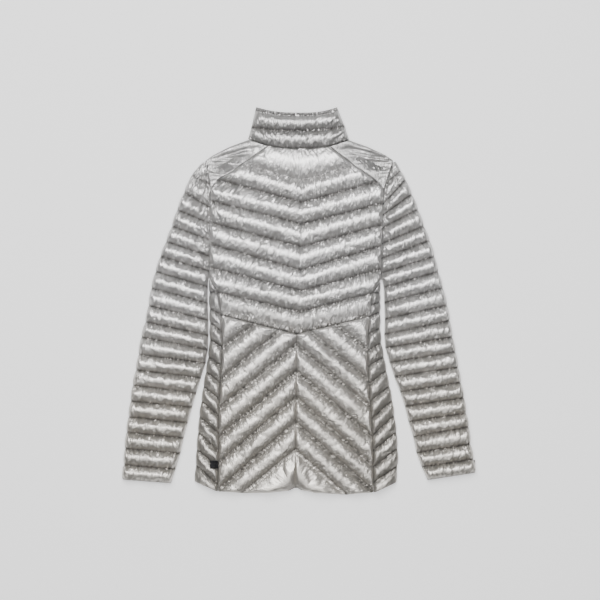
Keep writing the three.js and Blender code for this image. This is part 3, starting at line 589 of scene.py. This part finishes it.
def lowerBackSections(side, outward):
    part = lowerBack
    sections = []
    for at in rowPlaces(8, part):
        _, sx, sy, ex, ey = rowAt(lowerBackRows[side], at)
        onWaist = sy > waist[1][1]
        if onWaist:
            sy = yAcross(*waist, sx) - seamGap
        else:
            sx = xAt(centreSeam, sy) + outward * 0.08
        if at > 6:
            ey = yOnHem(side, ex)
        else:
            ex = xAt(sideSeams[side], ey) - outward * seamGap
        length = sqrt((ex - sx) ** 2 + (ey - sy) ** 2)
        field = min(1, max(0, (at - 6.95) * 4))
        gather = gathering(at) * lerp(1, 0.3, field) * min(1, length / 30)
        section = []
        for u in spread(part["columns"], 0.3):
            x, y = lerp(sx, ex, u), lerp(sy, ey, u)
            inner = rolled(length * u, part["roll"])
            if not onWaist:
                inner = lerp(0.6, 1, inner)
            round = min(inner, rolled(length * (1 - u), part["roll"]))
            spot = clothPlace(x, y, (sx, sy), (ex, ey))
            fold = pucker(spot, 2) * part["pucker"] * gather * round
            if stitched(at, 8, part):
                fold *= quilt["tight"]
            rise = part["puff"] * fullness(at, part) * round
            loose = 0 < u < 1 and not stitched(at, 8, part)
            section.append((x, y, quilt["stitch"] + rise + fold + ridge(at, 8, part), loose, gather, spot))
        sections.append(section)
    return sections


for side, outward in (("left", -1), ("right", 1)):
    skin = makeSkin("lower_back_" + side, lowerBackSections(side, outward), lowerBack["grow"], 0)
    inflate(skin, lowerBack)
    crumple(skin)
    closeOver(skin, quilt["inside"])
    finishPiece(skin, "jacket", ["back_lower_" + side], nylon)


# side panels: from a point at the armpit to the hem, turned under the edge
# place, y on the seam, y on the outer edge
sidePanelRows = {
    "left": [
        (0, 40, 38), (1, 16, 16), (2, -28, -15), (3, -59, -42), (4, -88, -74), (5, -124, -107),
        (6, -155, -135), (7, -188, -162), (8, -218, -191), (9, -251, -220), (10, -286, -249),
        (11, -316, -282), (12, -348, -311), (12.67, -361, -342)],
    "right": [
        (0, 36, 34), (1, 15, 15), (2, -8, -3), (3, -30, -21), (4, -64, -52), (5, -95, -80),
        (6, -124, -107), (7, -158, -133), (8, -191, -162), (9, -224, -189), (10, -255, -218),
        (11, -284, -249), (12, -315, -280), (13, -344, -313), (13.67, -363, -344)],
}
sidePanel = {"columns": 28, "steps": 11, "puff": 8.0, "roll": 6.0, "twin": 0.015,
             "pucker": 2.1, "edgeHeight": 4.5, "under": 14.0, "pressure": 1.6, "grow": 0.08}


def sidePanelSections(side, outward):
    part = sidePanel
    rows = sidePanelRows[side]
    last = rows[-1][0]
    sections = []
    for at in rowPlaces(last, part):
        _, seamY, edgeY = rowAt(rows, at)
        seamX = xAt(sideSeams[side], seamY) + outward * seamGap
        edgeX = xAt(sideEdges[side], edgeY)
        width = abs(edgeX - seamX)
        narrow = min(1, width / 14)
        gather = gathering(at) * narrow
        section = []
        for i in range(part["columns"] + 1):
            angle = 0.5 * pi * i / part["columns"]
            share = sin(angle) ** 0.9
            x, y = lerp(seamX, edgeX, share), lerp(seamY, edgeY, share)
            round = rolled(share * width, part["roll"])
            rise = part["puff"] * fullness(at, part) * narrow * round * cos(angle) ** 0.7
            spot = clothPlace(x, y, (seamX, seamY), (edgeX, edgeY))
            fold = pucker(spot, 3) * part["pucker"] * gather * round * cos(angle)
            if stitched(at, last, part):
                fold *= quilt["tight"]
            x += outward * 1.4 * fullness(at, part) * share ** 4 * narrow
            z = lerp(part["edgeHeight"], quilt["stitch"], cos(angle)) + rise + fold
            loose = i > 0 and not stitched(at, last, part)
            section.append((x, y, z, loose, gather, spot))
        for inset, z in ((1.5, 1.4), (3.5, 0), (7, 0), (part["under"], 0), (part["under"], 11.8)):
            share = max(0, 1 - inset / max(width, 1))
            y = lerp(seamY, edgeY, share)
            section.append((xAt(sideEdges[side], y) - outward * inset, y, z, False, 0, (-inset, y)))
        section.append((seamX, seamY, quilt["inside"], False, 0, (seamX, seamY)))
        section.append(section[0])
        sections.append(section)
    return sections


for side, outward in (("left", -1), ("right", 1)):
    skin = makeSkin("side_panel_quilting_" + side, sidePanelSections(side, outward), sidePanel["grow"], 0)
    inflate(skin, sidePanel)
    closeRound(skin)
    finishPiece(skin, "jacket", ["side_panel_" + side], shadedNylon)


# sleeves: flattened tubes, from the armhole or the underarm edge out
# place, inner x and y, outer x and y
sleeveRows = {
    "left": [
        (0, -179, 262, -184, 263), (1, -173, 222, -205, 238), (2, -170, 176, -219, 205),
        (3, -170, 146, -232, 172), (4, -170, 115, -242, 141), (5, -171, 84, -253, 112),
        (6, -172, 56, -264, 84), (7, -174, 26, -273, 55), (8, -174, -5, -281, 24),
        (9, -173, -37, -286, -9), (10, -173, -66, -292, -40), (11, -174, -93, -300, -69),
        (12, -178, -118, -305, -102), (13, -187, -146, -310, -131), (14, -196, -175, -316, -160),
        (15, -204, -202, -320, -190), (16, -212, -231, -324, -220), (17, -220, -260, -328, -249),
        (18, -226, -289, -331, -280), (19, -235, -319, -333, -311), (20, -244, -346, -336, -339)],
    "right": [
        (0, 177, 262, 182, 264), (1, 165, 220, 191, 247), (2, 158, 182, 200, 230),
        (3, 157, 162, 212, 202), (4, 156, 138, 224, 173), (5, 155, 108, 235, 141),
        (6, 155, 80, 246, 114), (7, 154, 52, 255, 84), (8, 159, 25, 262, 55), (9, 160, -4, 271, 24),
        (10, 161, -35, 279, -9), (11, 160, -64, 284, -38), (12, 162, -89, 289, -69),
        (13, 170, -117, 295, -97), (14, 179, -144, 300, -126), (15, 190, -173, 305, -155),
        (16, 199, -200, 311, -184), (17, 206, -229, 315, -213), (18, 215, -258, 320, -239),
        (19, 221, -288, 323, -271), (20, 231, -315, 329, -300), (21, 242, -340, 333, -326)],
}
sleeve = {"columns": 64, "under": 12, "steps": 12, "puff": 10.4, "roll": 12.0, "scallop": 2.2,
          "top": 13.0, "cuff": 11.0, "twin": 0.012, "pucker": 3.7, "pressure": 1.7, "grow": 0.12,
          "sewn": {"left": 12.5, "right": 7.0}, "crumpled": {"left": 38, "right": 26},
          "crumple": 3.6, "fold": 5.0}


def sleeveSections(side, outward):
    part = sleeve
    rows = sleeveRows[side]
    last = rows[-1][0]
    sections = []
    for at in rowPlaces(last, part):
        _, innerX, innerY, outerX, outerY = rowAt(rows, at)
        if innerY > armholes[side][2][1]:
            innerX = xAt(armholes[side], innerY) + outward * seamGap
        ends = min(1, at / 2)
        tall = lerp(part["cuff"] / part["top"], 1, rolled(last - at, 0.35))
        sewn = smooth((innerY - armholes[side][2][1]) / 30)
        innerZ = lerp(part["fold"], part["sewn"][side], sewn)
        outerX += outward * part["scallop"] * fullness(at, part) * ends
        width = sqrt((outerX - innerX) ** 2 + (outerY - innerY) ** 2)
        gather = gathering(at) * min(1, width / 40)
        section = []
        for u in spread(part["columns"], 0.55):
            x, y = lerp(innerX, outerX, u), lerp(innerY, outerY, u)
            edge = width * min(u, 1 - u)
            edgeZ = innerZ if u < 0.5 else part["fold"]
            z = lerp(edgeZ, part["top"], rolled(edge, part["roll"])) * tall
            round = rolled(edge, part["roll"] * 0.5)
            spot = clothPlace(x, y, (innerX, innerY), (outerX, outerY))
            fold = pucker(spot, 4) * part["pucker"] * gather * round
            nearArmhole = sewn * (1 - smooth(width * u / part["crumpled"][side]))
            fold += pucker((spot[1], spot[0] * 0.7), 9) * part["crumple"] * nearArmhole * min(1, edge / 4)
            if stitched(at, last, part):
                fold *= quilt["tight"]
            rise = part["puff"] * fullness(at, part) * ends * round
            loose = u > 0 and not stitched(at, last, part)
            section.append((x, y, z + rise + fold, loose, gather, spot))
        for i in range(1, part["under"]):
            u = lerp(0.97, 0.03, i / part["under"])
            x, y = lerp(innerX, outerX, u), lerp(innerY, outerY, u)
            section.append((x, y, 0, False, 0, (x, y)))
        section.append(section[0])
        sections.append(section)
    return sections


for side, outward in (("left", -1), ("right", 1)):
    skin = makeSkin("sleeve_quilting_" + side, sleeveSections(side, outward), sleeve["grow"], 32)
    inflate(skin, sleeve)
    crumple(skin)
    closeRound(skin, mouth=22)
    finishPiece(skin, "jacket", ["sleeve_" + side], nylon)


# collar: two baffles and a narrow channel at the top, a flat band that is open at the zip underneath
collarRows = [(0, -83, 367, 2, 356, 71, 367), (1, -92, 329, 2, 322, 86, 330), (2, -98, 307, 3, 288, 94, 305)]
collar = {"columns": 112, "steps": 14, "channel": 0.17, "puff": 9.0, "roll": 12.0, "fold": 5.0,
          "zipGap": 11.0, "pucker": 3.7, "pressure": 1.7, "grow": 0.12}


def collarPlaces():
    c = collar["channel"]
    steps = collar["steps"]
    top = [0, c * 0.2, c * 0.45, c * 0.7, c * 0.92, c]
    upper = [lerp(c, 1, i / steps) for i in range(1, steps + 1)]
    lower = [1 + i / steps for i in range(1, steps + 1)]
    return top + upper + lower


def collarSections():
    part = collar
    c = part["channel"]
    sections = []
    for at in collarPlaces():
        _, lx, ly, mx, my, rx, ry = rowAt(collarRows, at)
        onStitch = at in (0, c, 1, 2)
        if at <= c:
            full = 0.3 * sin(pi * at / c)
        elif at <= 1:
            full = max(0, sin(pi * (at - c) / (1 - c))) ** 0.6
        else:
            full = max(0, sin(pi * (at - 1))) ** 0.6
        top = lerp(14.8, 13.2, at / c) if at < c else lerp(13.2, 14.2, min(1, (at - c) * 2))
        gather = gathering(at) if at > c else 0.8
        under = [i / 8 for i in range(9)]
        plan = [(lerp(-part["zipGap"], lx + 1.5, u), 0, False, 0) for u in under]
        for u in spread(part["columns"], 0.5):
            x = lerp(lx, rx, u)
            round = rolled(min(x - lx, rx - x), part["roll"])
            fold = pucker((x, at * 34), 5) * part["pucker"] * gather * round
            if onStitch:
                fold *= quilt["tight"]
            z = lerp(part["fold"], top, round) + part["puff"] * full * round + fold
            plan.append((x, z, not onStitch, gather))
        plan += [(lerp(rx - 1.5, part["zipGap"], u), 0, False, 0) for u in under]
        inner = [(min(max(x, lx + 5), rx - 5), 11 if z == 0 else 12, False, 0) for x, z, _, _ in plan]
        rings = [plan + inner[::-1]]
        if at == 0:
            rings.insert(0, inner + inner[::-1])
        if at == 2:
            rings.append(inner + inner[::-1])
        ends = ((lx, ly), (mx, my), (rx, ry))
        for ring in rings:
            ring.append(ring[0])
            sections.append([
                (x, yAcross(*ends, x, collarCurve), z, loose, g, (x, at * 34)) for x, z, loose, g in ring])
    return sections


skin = makeSkin("collar_quilting", collarSections(), collar["grow"], 64)
inflate(skin, collar)
crumple(skin)
closeRound(skin)
finishPiece(skin, "jacket", ["collar"], shadedNylon)


# yokes: smooth cloth without down, from the seam over the shoulder line and under it
# place, x and y on the seam, x and y on the fold
yokeRows = {
    "left": [
        (0, -60, 293, -98, 305), (1, -108, 259, -133, 292), (2, -154, 229, -166, 275),
        (3, -168.5, 212, -179, 265)],
    "right": [
        (0, 56, 293, 95, 304), (1, 102, 257, 126, 293), (2, 147, 225, 163, 276),
        (3, 158.5, 211, 177, 266)],
}
yoke = {"rows": 54, "over": 30, "beneath": 9, "under": 20.0, "height": 15.4, "thickness": 1.2}


def yokeSections(side, outward):
    sections = []
    for i in range(yoke["rows"] + 1):
        at = 3 * i / yoke["rows"]
        _, sx, sy, fx, fy = rowAt(yokeRows[side], at)
        sx += outward * 0.4
        sy += 0.4
        length = sqrt((fx - sx) ** 2 + (fy - sy) ** 2)
        half = yoke["height"] / 2
        path = []
        for j in range(yoke["over"] + 1):
            d = length * (1 - j / yoke["over"]) ** 1.6
            path.append((d, half + half * rolled(d, 15)))
        for j in range(1, yoke["beneath"] + 1):
            d = yoke["under"] * (j / yoke["beneath"]) ** 1.6
            path.append((d, half - half * rolled(d, 9)))
        section = []
        for d, z in path:
            x, y = lerp(fx, sx, min(1, d / length)), lerp(fy, sy, min(1, d / length))
            y = min(y, collarSeamY(x) - 0.3)
            if z > half:
                z += (2.6 * wobble(x, y * 1.8, 24, 5) + 0.7 * wobble(x, y * 2, 9, 6)) * rolled(length - d, 12)
            section.append((x, y, max(z, 0), False, 0.25, (x, y)))
        sections.append(section)
    return sections


def thicken(obj, thickness):
    bm = bmesh.new()
    bm.from_mesh(obj.data)
    bmesh.ops.recalc_face_normals(bm, faces=bm.faces)
    bmesh.ops.solidify(bm, geom=list(bm.faces), thickness=thickness * mm)
    bmesh.ops.recalc_face_normals(bm, faces=bm.faces)
    bm.to_mesh(obj.data)
    bm.free()


for side, outward in (("left", -1), ("right", 1)):
    skin = makeSkin("shoulder_yoke_" + side, yokeSections(side, outward))
    crumple(skin)
    thicken(skin, yoke["thickness"])
    for v in skin.data.vertices:
        v.co.z = max(v.co.z, 0)
    finishPiece(skin, "jacket", ["yoke_" + side], shadedNylon)


# fronts: flattened pads that the back lies on, quilted on the side that faces down
# place, y at the zip, x and y of the outer end
frontRows = {
    "left": [
        (0, 288, -75, 299), (1, 280, -93, 283), (2, 260, -127, 270), (3, 236, -166, 249),
        (4, 205, -167.5, 205), (5, 125, -169, 125), (6, 50, -170, 48), (7, 42, -157, 42)],
    "right": [
        (0, 288, 72, 299), (1, 280, 90, 282), (2, 260, 124, 270), (3, 236, 160, 250), (4, 205, 157, 205),
        (5, 125, 154.5, 125), (6, 50, 152, 45), (7, 39, 138.5, 39)],
}
front = {"columns": 40, "rows": 150, "top": 11.7, "groove": 3.4, "pitch": 31.0, "bottomY": -355.0,
         "zipGap": 11.0}


def frontSections(side, outward):
    upper = frontRows[side]
    armpit = upper[-1]
    sections = []
    for i in range(front["rows"] + 1):
        u = i / front["rows"] * 2
        if u < 1:
            _, zipY, endX, endY = rowAt(upper, u * 7)
        else:
            zipY = lerp(armpit[1], front["bottomY"], u - 1)
            endY = lerp(armpit[3], -350, u - 1)
            endX = xAt(sideEdges[side], endY) - outward * 14.5
        section = []
        for c in range(front["columns"] + 1):
            x = lerp(outward * front["zipGap"], endX, c / front["columns"])
            y = min(lerp(zipY, endY, c / front["columns"]), collarSeamY(x) - 0.3)
            line = abs(sin(pi * (y - 12 + abs(x) * 0.06) / front["pitch"])) ** 0.45
            edge = min(abs(x) - front["zipGap"], abs(endX - x))
            z = front["groove"] * (1 - line * rolled(edge, 6)) + 0.4 * wobble(x, y, 14, 7)
            section.append((x, y, max(0, z), False, 0.5, (x, y)))
        sections.append(section)
    return sections


for side, outward in (("left", -1), ("right", 1)):
    skin = makeSkin("front_pad_" + side, frontSections(side, outward))
    closeOver(skin, front["top"])
    finishPiece(skin, "jacket", ["front_" + side], nylon)


# zip: two woven tapes, turned up where they are sewn to the fronts, with the teeth between them
zipper = {"top": 352.0, "bottom": -355.0, "inner": 3.1, "outer": 10.7, "z": 6.0, "tape": 0.6, "turn": 3.2,
          "pitch": 2.6, "teethTop": 330.0, "steps": 160}

tapeCloth = bpy.data.materials.new("zip tape")
tapeCloth.use_nodes = True
nodes = tapeCloth.node_tree.nodes
links = tapeCloth.node_tree.links
place = nodes.new("ShaderNodeTexCoord")
ribs = nodes.new("ShaderNodeTexWave")
ribs.inputs["Scale"].default_value = 260
ribs.bands_direction = "DIAGONAL"
links.new(place.outputs["Object"], ribs.inputs["Vector"])
tone = nodes.new("ShaderNodeValToRGB")
tone.color_ramp.elements[0].color = (0.2, 0.19, 0.18, 1)
tone.color_ramp.elements[1].color = (0.32, 0.31, 0.29, 1)
links.new(ribs.outputs["Fac"], tone.inputs["Fac"])
links.new(tone.outputs["Color"], nodes["Principled BSDF"].inputs["Base Color"])
nodes["Principled BSDF"].inputs["Roughness"].default_value = 0.85
ribBump = nodes.new("ShaderNodeBump")
ribBump.inputs["Strength"].default_value = 0.3
ribBump.inputs["Distance"].default_value = 0.0003
links.new(ribs.outputs["Fac"], ribBump.inputs["Height"])
links.new(ribBump.outputs["Normal"], nodes["Principled BSDF"].inputs["Normal"])

zipMetal = bpy.data.materials.new("satin metal")
zipMetal.use_nodes = True
nodes = zipMetal.node_tree.nodes
links = zipMetal.node_tree.links
nodes["Principled BSDF"].inputs["Metallic"].default_value = 1
nodes["Principled BSDF"].inputs["Base Color"].default_value = (0.42, 0.41, 0.39, 1)
place = nodes.new("ShaderNodeTexCoord")
brushed = nodes.new("ShaderNodeTexNoise")
brushed.inputs["Scale"].default_value = 400
links.new(place.outputs["Object"], brushed.inputs["Vector"])
gloss = nodes.new("ShaderNodeMapRange")
gloss.inputs["To Min"].default_value = 0.28
gloss.inputs["To Max"].default_value = 0.42
links.new(brushed.outputs["Fac"], gloss.inputs["Value"])
links.new(gloss.outputs["Result"], nodes["Principled BSDF"].inputs["Roughness"])

for side, outward in (("left", -1), ("right", 1)):
    sections = []
    for i in range(zipper["steps"] + 1):
        y = lerp(zipper["top"], zipper["bottom"], i / zipper["steps"])
        path = [(lerp(zipper["inner"], zipper["outer"], c / 4), 0) for c in range(5)]
        path += [(zipper["outer"], zipper["turn"] * c / 2) for c in (1, 2)]
        wave = zipper["z"] + 0.25 * wobble(0, y, 18, 8)
        sections.append([(outward * x, y, wave + z, False, 0, (x + z, y)) for x, z in path])
    skin = makeSkin("tape_" + side, sections)
    thicken(skin, zipper["tape"])
    finishPiece(skin, "jacket", ["zip_tape_" + side], tapeCloth)

bm = bmesh.new()
count = int((zipper["teethTop"] - zipper["bottom"]) / zipper["pitch"])
for i in range(count):
    way = 1 if i % 2 else -1
    at = Matrix.Translation((way * 0.9 * mm, (zipper["bottom"] + 1.5 + i * zipper["pitch"]) * mm, 6 * mm))
    tooth = bmesh.ops.create_cube(bm, size=1, matrix=at @ Matrix.Diagonal((3.8 * mm, 1.9 * mm, 2.3 * mm, 1)))
    edges = {e for v in tooth["verts"] for e in v.link_edges}
    bmesh.ops.bevel(bm, geom=list(edges), offset=0.3 * mm, segments=1, profile=0.5, affect="EDGES",
                    material=-1)
teethMesh = bpy.data.meshes.new("zip_teeth")
bm.to_mesh(teethMesh)
bm.free()
teeth = bpy.data.objects.new("zip_teeth", teethMesh)
bpy.context.collection.objects.link(teeth)
teethMesh.materials.append(zipMetal)
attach(teeth, "jacket")
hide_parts("zip_chain")
print("zip made")


# hem patch: a bare black square, sewn down on the left side panel
patch = {"x": -162.2, "y": -309.5, "size": 14.5, "lift": -0.6, "thickness": 2.4, "steps": 14}
blackRubber = bpy.data.materials.new("black rubber")
blackRubber.use_nodes = True
nodes = blackRubber.node_tree.nodes
links = blackRubber.node_tree.links
nodes["Principled BSDF"].inputs["Base Color"].default_value = (0.008, 0.008, 0.009, 1)
nodes["Principled BSDF"].inputs["Specular IOR Level"].default_value = 0.12
place = nodes.new("ShaderNodeTexCoord")
grain = nodes.new("ShaderNodeTexNoise")
grain.inputs["Scale"].default_value = 900
links.new(place.outputs["Object"], grain.inputs["Vector"])
gloss = nodes.new("ShaderNodeMapRange")
gloss.inputs["To Min"].default_value = 0.5
gloss.inputs["To Max"].default_value = 0.7
links.new(grain.outputs["Fac"], gloss.inputs["Value"])
links.new(gloss.outputs["Result"], nodes["Principled BSDF"].inputs["Roughness"])

panel = bpy.data.objects["side_panel_quilting_left"]
panelTree = BVHTree.FromPolygons(
    [v.co for v in panel.data.vertices], [p.vertices for p in panel.data.polygons])


def patchLevel(x, y):
    # height of the panel around a place of the patch, in millimetres
    around = [(x + dx, y + dy) for dx in (-7, -4, 0, 4) for dy in (-7, 0, 7)]
    hits = [panelTree.ray_cast(Vector((a * mm, b * mm, 0.1)), Vector((0, 0, -1)))[0] for a, b in around]
    heights = [hit.z / mm for hit in hits if hit]
    return sum(heights) / len(heights)


sections = []
for r in range(patch["steps"] + 1):
    section = []
    for c in range(patch["steps"] + 1):
        x = patch["x"] + patch["size"] * (c / patch["steps"] - 0.5)
        y = patch["y"] + patch["size"] * (0.5 - r / patch["steps"])
        section.append((x, y, patchLevel(x, y) + patch["lift"] + patch["thickness"], False, 0, (x, y)))
    sections.append(section)
for v in panel.data.vertices:
    x, y = v.co.x / mm, v.co.y / mm
    if v.co.z > 0.008 and max(abs(x - patch["x"]), abs(y - patch["y"])) < patch["size"] / 2 + 1:
        v.co.z = min(v.co.z, (patchLevel(x, y) + patch["lift"] + 0.4) * mm)
square = makeSkin("black_patch", sections)
thicken(square, patch["thickness"])
finishPiece(square, "jacket", ["hem_patch"], blackRubber)


# the carried-over zip parts get the worked metal
for obj in list(bpy.data.objects):
    if obj.type == "MESH" and obj.name.startswith(("zip_slider", "zip_pull")):
        for slot in obj.material_slots:
            slot.material = zipMetal
        print("metal on", obj.name)


def areaLight(name, place, size, power, target=(0, 0, 0)):
    data = bpy.data.lights.new(name, "AREA")
    data.size = size
    data.energy = power
    lamp = bpy.data.objects.new(name, data)
    lamp.location = place
    lamp.rotation_euler = (Vector(target) - Vector(place)).to_track_quat("-Z", "Y").to_euler()
    bpy.context.collection.objects.link(lamp)


# soft studio light from the top left, and a pale floor
areaLight("key", (-0.35, 1.4, 2.6), 1.8, 130)
areaLight("above", (-0.1, 0.5, 3.5), 2.4, 46)
areaLight("below", (0.1, -1.3, 3.0), 2.4, 42)
world = bpy.data.worlds.new("studio")
world.use_nodes = True
world.node_tree.nodes["Background"].inputs["Color"].default_value = (0.86, 0.87, 0.89, 1)
world.node_tree.nodes["Background"].inputs["Strength"].default_value = 0.1
bpy.context.scene.world = world

paper = bpy.data.materials.new("pale paper")
paper.use_nodes = True
nodes = paper.node_tree.nodes
links = paper.node_tree.links
place = nodes.new("ShaderNodeTexCoord")
fibres = nodes.new("ShaderNodeTexNoise")
fibres.inputs["Scale"].default_value = 60
links.new(place.outputs["Object"], fibres.inputs["Vector"])
tone = nodes.new("ShaderNodeValToRGB")
tone.color_ramp.elements[0].color = (0.6, 0.6, 0.6, 1)
tone.color_ramp.elements[1].color = (0.62, 0.62, 0.62, 1)
links.new(fibres.outputs["Fac"], tone.inputs["Fac"])
links.new(tone.outputs["Color"], nodes["Principled BSDF"].inputs["Base Color"])
nodes["Principled BSDF"].inputs["Roughness"].default_value = 0.95
nodes["Principled BSDF"].inputs["Emission Color"].default_value = (1, 1, 1, 1)
nodes["Principled BSDF"].inputs["Emission Strength"].default_value = 0.78

bm = bmesh.new()
bmesh.ops.create_grid(bm, x_segments=1, y_segments=1, size=6)
floorMesh = bpy.data.meshes.new("floor")
bm.to_mesh(floorMesh)
bm.free()
floorMesh.materials.append(paper)
floor = bpy.data.objects.new("floor", floorMesh)
bpy.context.collection.objects.link(floor)
print("light and floor set")
